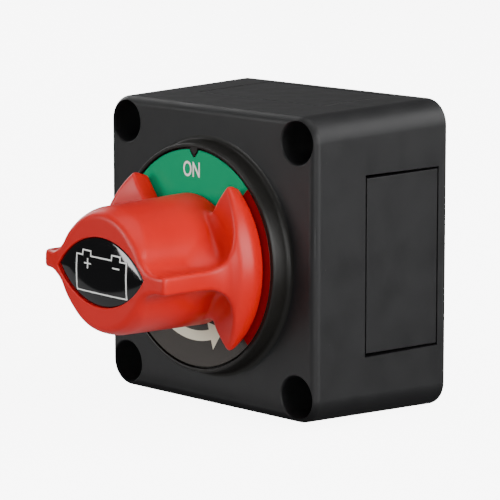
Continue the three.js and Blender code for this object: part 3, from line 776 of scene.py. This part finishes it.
def lettering(name, text, x, z, width, height, turn=0):
    """White letters on the dial at x and z, scaled to a width and height, then turned."""
    curve = bpy.data.curves.new(name, "FONT")
    curve.body = text
    curve.align_x = "CENTER"
    curve.resolution_u = 6
    curve.extrude = 1
    curve.offset = 0.012
    thing = added(name, curve)
    graph = bpy.context.evaluated_depsgraph_get()
    data = bpy.data.meshes.new_from_object(thing.evaluated_get(graph))
    bpy.data.objects.remove(thing)
    flat = np.array([v.co[:2] for v in data.vertices])
    low, high = flat.min(0), flat.max(0)
    scale = np.array([width, height]) / (high - low)
    centred = (flat - (low + high) / 2) * scale
    c, s = math.cos(turn), math.sin(turn)
    for v, (u, w) in zip(data.vertices, centred):
        y = DIAL_Y - (0.035 if v.co.z > 0 else -0.02)
        v.co = ((x + u * c - w * s) * MM, y * MM, (z + u * s + w * c) * MM)
    bm = bmesh.new()
    bm.from_mesh(data)
    bmesh.ops.remove_doubles(bm, verts=bm.verts, dist=0.002 * MM)
    bmesh.ops.recalc_face_normals(bm, faces=bm.faces)
    bm.to_mesh(data)
    bm.free()
    return painted(added(name, data), WHITE_PRINT)


piece(dial_body(), "case", "dial_print", "dial_plate")
piece(direction_arrow(), "case", "dial_print")
piece(lettering("dial_on_text", "ON", -0.85, 19.72, 5.35, 3.42), "case", "dial_print")
for side, sign in (("right", 1), ("left", -1)):
    name = "dial_off_text_" + side
    text = lettering(name, "OFF", sign * 19.2, 0, 7.4, 3.0, -sign * math.pi / 2)
    piece(text, "case", "dial_print")

# ---------------------------------------------------------------- knob

KNOB_BACK = -knob_high[1]
KNOB_FRONT = -knob_low[1]
EYE_X, EYE_Z = 14.1, 7.6
EYE_DEPTH = 1.2
SEAT_ANGLE = math.radians(-2.5)


def soft_min(a, b, k):
    """Two shapes joined, with a fillet where they are less than k apart."""
    h = np.maximum(k - np.abs(a - b), 0) / k
    return np.minimum(a, b) - h * h * k / 4


def soft_max(a, b, k):
    return -soft_min(-a, -b, k)


def round_max(a, b, radius):
    """The overlap of two shapes, its edge rounded to a true radius."""
    a, b = a + radius, b + radius
    outside = np.hypot(np.maximum(a, 0), np.maximum(b, 0))
    return np.minimum(np.maximum(a, b), 0) + outside - radius


def ramp(v, a, b):
    """Eases from 0 at a to 1 at b."""
    t = np.clip((v - a) / (b - a), 0, 1)
    return t * t * (3 - 2 * t)


# The radius of the wings' outer ends at each depth forward
ENVELOPE_D = [
    43.0, 44.4, 45.4, 46.4, 47.5, 48.5, 49.5, 50.5, 51.2, 51.8, 52.6, 53.5, 55, 57, 60, 75
]
ENVELOPE_R = [
    22.2, 22.5, 23.0, 23.5, 23.8, 23.8, 23.4, 23.15, 22.9, 22.3, 21.5, 20.9, 20.4, 20.1, 19.9, 19.7
]
# The wings' half height at their outer ends at each depth, down to the thin fins
CREST_D = [
    44.0, 46.0, 47.3, 48.4, 49.5, 50.2, 50.8, 51.3, 51.8, 52.3, 52.8, 53.6, 54.6, 56, 58, 60, 75
]
CREST_W = [32.0, 26.0, 21.0, 17.5, 15, 13, 11, 9, 7.3, 5.8, 4.7, 3.5, 2.8, 2.3, 2.05, 1.9, 1.75]
# The depth of the floor between the ears and the barrel
VALLEY_D = 45.7
BARREL_BACK_R = 14.6
BARREL_FRONT_R = 13.9
WING_ROOT_R = 13.4
FIN_HALF = 1.75
EAR_SLOPE = 1.35
# How far the field is sampled each way
FIELD_X = 25.2
FIELD_Z = 19.6


def smooth_curve(at, xs, ys):
    """A rounded curve through the points, from averaged straight pieces."""
    total = 0
    for shift in (-0.8, -0.4, 0.0, 0.4, 0.8):
        total = total + np.interp(at + shift, xs, ys)
    return total / 5


def knob_field(x, d, z):
    """Below zero inside the knob; x and z are in the face plane and d is the depth forward."""
    # The fins and the front are turned on the splines, and the ears at the dial stay upright
    twist = -SEAT_ANGLE * ramp(d, 48, 55)
    x, z = x * np.cos(twist) - z * np.sin(twist), x * np.sin(twist) + z * np.cos(twist)
    u, w = np.abs(x), np.abs(z)
    r = np.hypot(x, z)

    # A round barrel, a little narrower towards the front
    forward = (d - KNOB_BACK) / (KNOB_FRONT - KNOB_BACK)
    barrel = r - (BARREL_BACK_R + (BARREL_FRONT_R - BARREL_BACK_R) * forward)

    # Two wings, tall at the dial, thinning to a fin in front and sinking towards the barrel
    envelope = smooth_curve(d, ENVELOPE_D, ENVELOPE_R)
    out = (r - WING_ROOT_R) / (envelope - WING_ROOT_R)
    out = np.minimum((out + np.sqrt(out**2 + 0.03)) / 2, 1.15)
    rise = VALLEY_D + (d - VALLEY_D) / (0.42 + 0.58 * out)
    half = smooth_curve(rise, CREST_D, CREST_W)
    ahead = 0.3
    lean = (smooth_curve(rise + ahead, CREST_D, CREST_W) - half) / ahead
    sheet = (w - half) / np.hypot(1, lean)
    fin = w - FIN_HALF
    wing = soft_max(soft_min(sheet, fin, 1.0), r - envelope, 0.8)

    # The slanted ends of the wings' ears
    ear = (w - 12.5 - EAR_SLOPE * (u - 11.3)) / math.hypot(1, EAR_SLOPE)
    wing = soft_max(wing, ear, 0.45 + 3.5 * (1 - ramp(r, 13.5, 18)))

    # Wings and barrel joined by a fillet, widest in the valleys beside the fins
    valley = (1 - 0.75 * ramp(w, 2, 14)) * ramp(d, 45.5, 48.0)
    reach = 1.2 + 7.0 * valley * (1 - 0.6 * ramp(d, 53, 60))
    body = soft_min(barrel, wing, reach)

    # A front that falls away towards the fins, its rim chamfered and rounded, and a flat back
    front = d - (KNOB_FRONT - 0.9 * ramp(u, 13.5, 19.5))
    inner = 1 - ramp(u, 8.5, 15.5)
    chamfer = (body + front) / math.sqrt(2) + 0.15 + 0.4 * inner
    body = round_max(body, chamfer, 0.5 + 2.0 * inner)
    body = round_max(body, front, 0.45 + 0.55 * inner)
    return round_max(body, KNOB_BACK - d, 0.3)


def knob_surface(name, step):
    """The knob's skin: a quad mesh of its field, moved onto the exact surface."""
    xs = np.arange(-FIELD_X, FIELD_X + step, step)
    ds = np.arange(KNOB_BACK - 1.5, KNOB_FRONT + 1.5, step)
    zs = np.arange(-FIELD_Z, FIELD_Z + step, step)
    x, d, z = np.meshgrid(xs, ds, zs, indexing="ij")
    field = knob_field(x, d, z).astype(np.float32)
    grid = openvdb.FloatGrid(5.0)
    grid.copyFromArray(field)
    points, quads = grid.convertToQuads(isovalue=0.0)
    points = np.asarray(points, float) * step + [xs[0], ds[0], zs[0]]
    # Newton steps along the field's gradient
    tiny = 0.02
    for _ in range(4):
        value = knob_field(*points.T)
        gradient = np.stack([
            (knob_field(*(points + shift).T) - knob_field(*(points - shift).T)) / (2 * tiny)
            for shift in np.eye(3) * tiny
        ], 1)
        size = np.maximum((gradient**2).sum(1), 0.05)
        points -= np.clip(value / size, -0.3, 0.3)[:, None] * gradient
    placed = np.stack([points[:, 0], -points[:, 1], points[:, 2]], 1)
    thing = raw_mesh(name, [tuple(p) for p in placed], [tuple(int(i) for i in q) for q in quads])
    return outward(thing)


def eye_outline(half_width, half_height):
    """A pointed oval bounded by two arcs through both tips."""
    steps = 40
    radius = (half_width**2 + half_height**2) / (2 * half_height)
    sweep = math.asin(half_width / radius)
    points = []
    for side in (1, -1):
        for i in range(steps):
            angle = side * math.pi / 2 + sweep * (2 * i / steps - 1)
            centre = side * (half_height - radius)
            points.append((radius * math.cos(angle), centre + radius * math.sin(angle)))
    return points


def stacked(name, levels):
    """A closed skin through outlines with equal point counts, given as (outline, y)."""
    points = []
    for outline, y in levels:
        points += [(x, y, z) for x, z in outline]
    return outward(raw_mesh(name, points, skin(len(levels), len(levels[0][0]))))


def knob_looks():
    """The knob with its window cut out and the window's rim kept sharp."""
    body = knob_surface("knob_looks", 0.4)
    rim = 0.22
    window = stacked("window", [
        (eye_outline(EYE_X, EYE_Z), -(KNOB_FRONT - EYE_DEPTH)),
        (eye_outline(EYE_X, EYE_Z), -(KNOB_FRONT - rim)),
        (eye_outline(EYE_X + rim * 0.4, EYE_Z + rim * 0.3), -(KNOB_FRONT - rim * 0.35)),
        (eye_outline(EYE_X + rim * 1.2, EYE_Z + rim), -KNOB_FRONT),
        (eye_outline(EYE_X + rim * 6, EYE_Z + rim * 5), -(KNOB_FRONT + 1)),
    ])
    combine(body, [window])
    painted(body, RED)
    body.data.shade_smooth()
    bm = bmesh.new()
    bm.from_mesh(body.data)
    for edge in bm.edges:
        low = min(v.co.y for v in edge.verts) / MM
        high = max(v.co.y for v in edge.verts) / MM
        if high > -(KNOB_FRONT - EYE_DEPTH) + 0.01 or len(edge.link_faces) != 2:
            continue
        near_eye = all(abs(v.co.x) / MM < EYE_X + 0.5 for v in edge.verts)
        if near_eye and low > -KNOB_FRONT - 0.01 and edge.calc_face_angle(0) > math.radians(22):
            edge.smooth = False
    bm.to_mesh(body.data)
    bm.free()
    return body


piece(knob_looks(), "turning_knob", "red_nylon", "knob")

# ---------------------------------------------------------------- badge

LENS_X, LENS_Z = EYE_X - 0.25, EYE_Z - 0.15
LENS_EDGE_Y = badge_low[1] + 0.25
LENS_RISE = 0.5
ICON_SHIFT = 0.45


def lens_height(x, z):
    """The lens surface's depth at a point, from how far out it lies between centre and rim."""
    radius = (LENS_X**2 + LENS_Z**2) / (2 * LENS_Z)
    out = math.hypot(x, abs(z) + radius - LENS_Z) - (radius - LENS_Z)
    share = min(1.0, max(0.0, out / LENS_Z))
    return LENS_EDGE_Y - LENS_RISE * (1 - share**4)


def badge_lens():
    """A domed lens with a short straight edge that starts behind the window's floor."""
    outline = eye_outline(LENS_X, LENS_Z)
    n = len(outline)
    points, faces = [], []
    levels = [1.0, 0.985, 0.95, 0.9, 0.84, 0.77, 0.7, 0.6, 0.5, 0.4, 0.3, 0.2, 0.1]
    points += [(x, -(KNOB_FRONT - EYE_DEPTH) - 0.1, z) for x, z in outline]
    for s in levels:
        drop = 0.12 if s == 1.0 else 0.0
        points += [
            (x * s, LENS_EDGE_Y - LENS_RISE * (1 - s**4) + drop, z * s) for x, z in outline
        ]
    for k in range(len(levels)):
        for i in range(n):
            j = (i + 1) % n
            faces.append((k * n + i, k * n + j, (k + 1) * n + j, (k + 1) * n + i))
    top = len(points)
    points.append((0, LENS_EDGE_Y - LENS_RISE, 0))
    last = len(levels) * n
    faces += [(last + i, last + (i + 1) % n, top) for i in range(n)]
    faces.append(tuple(range(n)))
    lens = outward(raw_mesh("knob_badge_looks", points, faces))
    return turned_by(smooth(painted(lens, LENS), 40, weighted=False), SEAT_ANGLE)


def stroke(a, b, width):
    """A bar between two points, as an outline."""
    ax, az = a
    bx, bz = b
    length = math.hypot(bx - ax, bz - az)
    tx, tz = (bx - ax) / length, (bz - az) / length
    nx, nz = -tz * width / 2, tx * width / 2
    ex, ez = tx * width / 2, tz * width / 2
    return [
        (ax + nx - ex, az + nz - ez),
        (ax - nx - ex, az - nz - ez),
        (bx - nx + ex, bz - nz + ez),
        (bx + nx + ex, bz + nz + ez),
    ]


def icon_bars():
    """A battery's outline with a plus and a minus, as bars."""
    w = 0.3
    path = [
        (-8.12, -4.6), (8.12, -4.6), (8.12, 3.2), (6.1, 3.2), (6.1, 4.3), (3.4, 4.3),
        (3.4, 3.2), (-3.4, 3.2), (-3.4, 4.3), (-6.1, 4.3), (-6.1, 3.2), (-8.12, 3.2),
    ]
    bars = [stroke(a, b, w) for a, b in zip(path, path[1:] + path[:1])]
    bars.append(stroke((-5.35, 1.5), (-3.45, 1.5), w))
    bars.append(stroke((-4.4, 0.55), (-4.4, 2.45), w))
    bars.append(stroke((3.9, 1.6), (5.8, 1.6), w))
    return bars


def badge_icon():
    """Thin bars that follow the lens, cut into short pieces along their length."""
    parts = []
    for number, (p0, p1, p2, p3) in enumerate(icon_bars()):
        steps = max(1, round(math.dist(p1, p2) / 0.8))
        points, faces = [], []
        for i in range(steps + 1):
            t = i / steps
            for a, b in ((p0, p3), (p1, p2)):
                x, z = a[0] + (b[0] - a[0]) * t, a[1] + (b[1] - a[1]) * t
                y = lens_height(x, z)
                points.append((x, y - 0.05, z))
                points.append((x, y + 0.1, z))
        for i in range(steps):
            k, m = i * 4, i * 4 + 4
            faces += [(k, k + 2, m + 2, m), (k + 1, m + 1, m + 3, k + 3)]
            faces += [(k, m, m + 1, k + 1), (k + 2, k + 3, m + 3, m + 2)]
        faces += [(0, 1, 3, 2), (steps * 4, steps * 4 + 2, steps * 4 + 3, steps * 4 + 1)]
        parts.append(painted(outward(raw_mesh(f"bar_{number}", points, faces)), WHITE_PRINT))
    icon = join("knob_badge_icon", parts)
    icon.data.transform(Matrix.Translation((ICON_SHIFT * MM, 0, 0)))
    return turned_by(icon, SEAT_ANGLE / 2)


piece(badge_lens(), "turning_knob", "black_lens", "knob_badge")
piece(badge_icon(), "turning_knob", "black_lens", "knob_badge")

# ---------------------------------------------------------------- terminals


def threaded(name, radius, pitch, depth, y0, y1, segments=40):
    """A rod along Y with a helical V thread and chamfered ends."""
    rings = round((y1 - y0) / pitch * 7)
    points = []
    for k in range(rings + 1):
        y = y0 + (y1 - y0) * k / rings
        end = min(y - y0, y1 - y)
        for i in range(segments):
            turn = (y / pitch - i / segments) % 1
            r = radius - depth * max(0.0, 1.25 - 2.5 * abs(turn - 0.5))
            r = min(r, radius - depth * 1.1 + end)
            angle = 2 * math.pi * i / segments
            points.append((r * math.cos(angle), y, r * math.sin(angle)))
    return outward(raw_mesh(name, points, skin(rings + 1, segments)))


def terminal_stud(side, x):
    """A round head and a threaded rod."""
    low, high = edges("terminal_stud_" + side)
    head_r, seat = high[0] - x, low[1] + 1.2
    head = lathe("head", [
        (0, low[1]), (head_r - 0.4, low[1]), (head_r, low[1] + 0.35), (head_r, seat - 0.2),
        (head_r - 0.2, seat), (STUD_R, seat), (0, seat),
    ], 64)
    rod_part = threaded("thread", STUD_R, STUD_PITCH, 0.75, seat - 0.05, high[1])
    for part in (head, rod_part):
        painted(part, BRASS)
    return smooth(moved(join("terminal_stud_looks_" + side, [head, rod_part]), x, 0), 50)


def hex_nut(side, x):
    """A nut with its corners chamfered and its bore countersunk at both ends."""
    low, high = edges("stud_nut_" + side)
    y0, y1 = low[1], high[1]
    corner = NUT_FLATS / math.sqrt(3)
    outline = [
        (corner * math.cos(k * math.pi / 3), corner * math.sin(k * math.pi / 3)) for k in range(6)
    ]
    nut = prism("stud_nut_looks_" + side, outline, y0, y1)
    cone = lathe("chamfer", [
        (0, y0), (corner - 1.25, y0), (corner + 0.1, y0 + 0.8),
        (corner + 0.1, y1 - 0.8), (corner - 1.25, y1), (0, y1),
    ], 96)
    combine(nut, [cone], "INTERSECT")
    bore = lathe("bore", [
        (0, y0 - 1), (6.1, y0 - 1), (5.06, y0 + 0.65), (5.06, y1 - 0.65), (6.1, y1 + 1),
        (0, y1 + 1),
    ], 64)
    combine(nut, [bore])
    return smooth(moved(painted(nut, STAINLESS), x, 0), 30)


def flat_washer(side, x):
    low, high = edges("flat_washer_" + side)
    y0, y1 = low[1], high[1]
    inner, outer, e = 5.3, 9.8, 0.18
    ring = lathe("flat_washer_looks_" + side, [
        (inner, y0 + e), (inner + e, y0), (outer - e, y0), (outer, y0 + e),
        (outer, y1 - e * 1.6), (outer - e * 1.6, y1), (inner + e, y1), (inner, y1 - e),
    ], 96, closed=True)
    return smooth(moved(painted(ring, STAINLESS), x, 0), 40)


def spring_washer(side, x):
    """A split washer, its two ends sprung apart."""
    low, high = edges("spring_washer_" + side)
    middle, half = (low[1] + high[1]) / 2, (high[1] - low[1]) / 2
    steps, gap = 72, math.radians(5)
    points = []
    for k in range(steps + 1):
        angle = gap + (2 * math.pi - 2 * gap) * k / steps
        lean = (k / steps - 0.5) * 0.5
        for r, y in ((5.4, -1), (8.5, -1), (8.5, 1), (5.4, 1)):
            place = middle + y * (half - 0.25) + lean
            points.append((r * math.cos(angle), place, r * math.sin(angle)))
    ring = outward(raw_mesh("spring_washer_looks_" + side, points, skin(steps + 1, 4)))
    return smooth(moved(painted(bevel(ring, 0.12, 2), SPRING), x, 0), 40)


for side, sign in (("left", -1), ("right", 1)):
    x = sign * STUD_X
    piece(terminal_stud(side, x), "case", "tinned_brass", "terminal_stud_" + side)
    piece(hex_nut(side, x), "case", "stainless", "stud_nut_" + side)
    piece(flat_washer(side, x), "case", "stainless", "flat_washer_" + side)
    piece(spring_washer(side, x), "case", "stainless", "spring_washer_" + side)

# ---------------------------------------------------------------- base insulator and its screws


def base_insulator():
    """A moulded plate with a spring pocket, ridges, and seats for the studs and screws."""
    low, high = edges("base_insulator")
    front, back = low[1], -24.0
    half = high[0]
    plate = square_loft("base_insulator_looks", [
        (front, half - 0.3, 2.7), (front + 0.3, half, 3.0), (back - 0.4, half, 3.0),
        (back - 0.1, half - 0.12, 2.88), (back, half - 0.4, 2.6),
    ], 8)
    combine(plate, corner_posts(POST_R + 0.3, front - 1, back + 1))
    wall = lathe("pocket_wall", [
        (0, front + 0.5), (7.9, front + 0.5), (7.4, back), (7.4, high[1] - 0.5),
        (6.9, high[1]), (0, high[1]),
    ], 64)
    ridges = [block("ridge", -9, 9, back - 0.5, back + 1.4, z - 0.8, z + 0.8) for z in (-16, 16)]
    ridges += [block("ridge", x - 0.8, x + 0.8, back - 0.5, back + 1.4, -16, 16) for x in (-9, 9)]
    combine(plate, [wall, *ridges], "UNION")
    cutters = [rod("pocket", 0, 0, 5.6, high[1] - 1.6, front - 1, 48)]
    for x in (-STUD_X, STUD_X):
        cutters.append(rod("stud_hole", x, 0, STUD_HOLE_R, front - 1, back + 3, 48))
        cutters.append(rod("stud_seat", x, 0, 7.2, front - 1, front + 1.3, 48))
    for sx, sz in CORNERS:
        cutters.append(rod("screw_hole", sx * 14, sz * 26, 1.7, front - 1, back + 1, 24))
    combine(plate, cutters)
    return smooth(painted(plate, PHENOLIC), 30)


def base_screw(number):
    """A cross-slotted screw with a domed head."""
    low, high = edges(f"base_screw_{number}")
    x, z = (low[0] + high[0]) / 2, (low[2] + high[2]) / 2
    seat, top = high[1] - 2.0, high[1]
    head = lathe("head", [
        (0, seat - 0.05), (2.8, seat), (2.8, seat + 0.8), (2.6, seat + 1.3), (2.1, top - 0.25),
        (1.2, top - 0.04), (0, top),
    ], 48)
    slots = [
        block("slot", -1.7, 1.7, top - 0.95, top + 1, -0.33, 0.33),
        block("slot", -0.33, 0.33, top - 0.95, top + 1, -1.7, 1.7),
    ]
    combine(head, slots)
    shank = threaded("thread", 1.4, 0.9, 0.3, low[1], seat, 24)
    for part in (head, shank):
        painted(part, STAINLESS)
    return smooth(moved(join(f"base_screw_looks_{number}", [head, shank]), x, z), 35)


piece(base_insulator(), "case", "grey_phenolic", "base_insulator")
for number in (1, 2, 3, 4):
    piece(base_screw(number), "case", "stainless", f"base_screw_{number}")

# ---------------------------------------------------------------- carried-over CAD nodes

# Every CAD node gets a finish, and those that a piece replaces aren't seen
for part in frame["record"]["subparts"]:
    thing = painted(frame["nodes"][part["node"]], SLOT_FINISH[part["material_slot"]])

# ---------------------------------------------------------------- detent springs


def detent_spring(name, angle):
    """A coil of round wire in its bore."""
    node = "detent_spring_" + name
    low, high = edges(node)
    outer, middle = (high[1] - low[1]) / 2, (high[1] + low[1]) / 2
    start = min(abs(low[0]), abs(high[0])) * math.sqrt(2) + outer
    end = max(abs(low[0]), abs(high[0])) * math.sqrt(2) - outer
    wire, turns, steps, sides = 0.2, 4.5, 108, 8
    points = []
    for k in range(steps + 1):
        along = start + wire + (end - start - 2 * wire) * k / steps
        turn = 2 * math.pi * turns * k / steps
        for i in range(sides):
            around = 2 * math.pi * i / sides
            r = outer - wire + wire * math.cos(around)
            points.append((
                along + wire * math.sin(around), middle + r * math.cos(turn), r * math.sin(turn)
            ))
    coil = outward(raw_mesh(node + "_looks", points, skin(steps + 1, sides)))
    smooth(painted(coil, SPRING), 60, weighted=False)
    piece(turned_by(coil, angle), "case", "spring_steel", node)
    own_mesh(coil)


detent_spring("upper", math.radians(45))
detent_spring("lower", math.radians(225))

# ---------------------------------------------------------------- floor, lights and camera


def floor():
    """A white floor that glows for the camera and lights nothing else."""
    s = Shader("floor")
    s.surface.inputs["Base Color"].default_value = (0.9, 0.9, 0.9, 1)
    s.surface.inputs["Emission Color"].default_value = (1, 1, 1, 1)
    s.surface.inputs["Emission Strength"].default_value = 7.0
    s.surface.inputs["Roughness"].default_value = 0.9
    s.surface.inputs["Specular IOR Level"].default_value = 0.0
    z = housing_low[2]
    far = 3000
    corners = [(-far, -far, z), (far, -far, z), (far, far, z), (-far, far, z)]
    thing = raw_mesh("floor", corners, [(0, 1, 2, 3)])
    thing.visible_glossy = False
    thing.visible_diffuse = False
    painted(thing, s.material)


floor()


def softbox(name, place, aim, width, height, power):
    light = bpy.data.lights.new(name, "AREA")
    light.shape = "RECTANGLE"
    light.size = width
    light.size_y = height
    light.energy = power
    thing = added(name, light)
    thing.location = place
    thing.rotation_mode = "QUATERNION"
    thing.rotation_quaternion = (Vector(aim) - Vector(place)).to_track_quat("-Z", "Y")
    return thing


def aimed(name, azimuth, elevation, distance, width, height, power):
    """A softbox seen from the knob at an angle left of straight ahead and above level."""
    a, e = math.radians(azimuth), math.radians(elevation)
    knob = Vector((0, KNOB_FRONT * -MM, 0))
    way = Vector((-math.sin(a) * math.cos(e), -math.cos(a) * math.cos(e), math.sin(e)))
    return softbox(name, knob + way * distance, knob, width, height, power)


aimed("key_box", 31, 9.5, 1.1, 0.34, 0.44, 6)
aimed("front_box", 2, 24, 1.1, 0.5, 0.5, 1.5)
aimed("camera_box", -46, 0, 1.3, 0.25, 0.5, 9)
softbox("top_box", (0.15, -0.05, 1.2), (0, 0, 0), 1.2, 1.2, 8)
softbox("back_box", (-0.8, 0.75, 0.3), (0, 0, 0), 0.7, 0.35, 0.1)
softbox("right_box", (1.1, 0.1, 0.3), (0, 0, 0), 0.8, 0.8, 19)
softbox("left_box", (-1.2, 0.15, 0.5), (0, 0, 0), 0.8, 0.8, 8)
softbox("rear_box", (0.45, 1.2, 0.5), (0, 0, 0), 0.8, 0.8, 14)

# Light thrown up from the floor in front of the switch
ground = housing_low[2] * MM
bounce = softbox(
    "bounce_box", (-0.01, -0.092, ground + 0.004), (-0.01, -0.092, 1), 0.26, 0.1, 0.035
)
bounce.visible_camera = False

# A dim even light from all round
world = bpy.data.worlds.new("studio")
bpy.context.scene.world = world
world.use_nodes = True
background = world.node_tree.nodes["Background"]
background.inputs["Color"].default_value = (1, 1, 1, 1)
background.inputs["Strength"].default_value = 0.08

# The camera's angles, aim and distance are those fitted to the photograph's outline
azimuth, elevation = math.radians(46.65), math.radians(9.28)
aim, distance = Vector((0, -0.025, 0)), 0.6837
back = Vector((
    math.sin(azimuth) * math.cos(elevation),
    -math.cos(azimuth) * math.cos(elevation),
    math.sin(elevation),
))
camera_data = bpy.data.cameras.new("camera")
camera_data.lens = 219.7
camera_data.sensor_width = 36
camera_data.shift_x = -0.0136
camera_data.shift_y = -0.0023
camera_data.clip_start = 0.02
camera_data.clip_end = 20
camera = added("camera", camera_data)
camera.location = aim + back * distance
camera.rotation_mode = "QUATERNION"
camera.rotation_quaternion = (-back).to_track_quat("-Z", "Y")
bpy.context.scene.camera = camera
